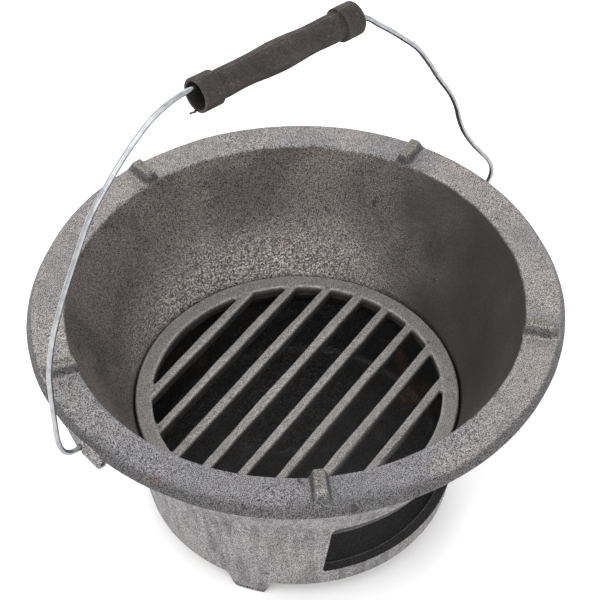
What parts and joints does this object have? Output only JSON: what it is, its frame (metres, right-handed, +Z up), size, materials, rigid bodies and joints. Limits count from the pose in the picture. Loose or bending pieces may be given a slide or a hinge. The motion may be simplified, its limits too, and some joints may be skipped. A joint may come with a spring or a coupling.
{
  "type": "portable charcoal stove",
  "caption": "Round cast-iron charcoal stove: conical fire bowl with pot-rest lugs on its rim, loose bar grate, ash vent, stub feet and a wire bail with a hollow grip.",
  "frame": {"origin": "middle of the base, on the plane the feet stand on", "axes": "+Z up; the bail swings about a line along X through the two ears; the ash vent faces -Y"},
  "size_m": [0.2895, 0.27, 0.3068],
  "materials": {
    "cast_iron_body": "sand-cast, bare, matte, lighter on the rim and darker in the fire bowl",
    "cast_iron_grate": "sand-cast, bare, matte",
    "galvanised_wire": "bright galvanised wire",
    "moulded_grip": "dark brown-grey moulding, matte, with fine specks"
  },
  "bodies": {
    "stove": {"stove_body": "cast_iron_body"},
    "grate": {"fire_grate": "cast_iron_grate"},
    "bail": {"bail_wire": "galvanised_wire"},
    "grip": {"bail_grip": "moulded_grip"}
  },
  "joints": [
    {"name": "bail_swing", "type": "hinge", "parent": "stove", "child": "bail", "pos_m": [0, 0, 0.133], "axis": [1, 0, 0], "range_deg": [-63, 70]},
    {"name": "grip_turn", "type": "hinge", "parent": "bail", "child": "grip", "pos_m": [-0.0074, 0, 0.2963], "axis": [0.9985, 0, -0.055], "continuous": true},
    {"name": "grate_lift", "type": "slide", "parent": "stove", "child": "grate", "axis": [0, 0, 1], "range_m": [0, 0.09]}
  ]
}
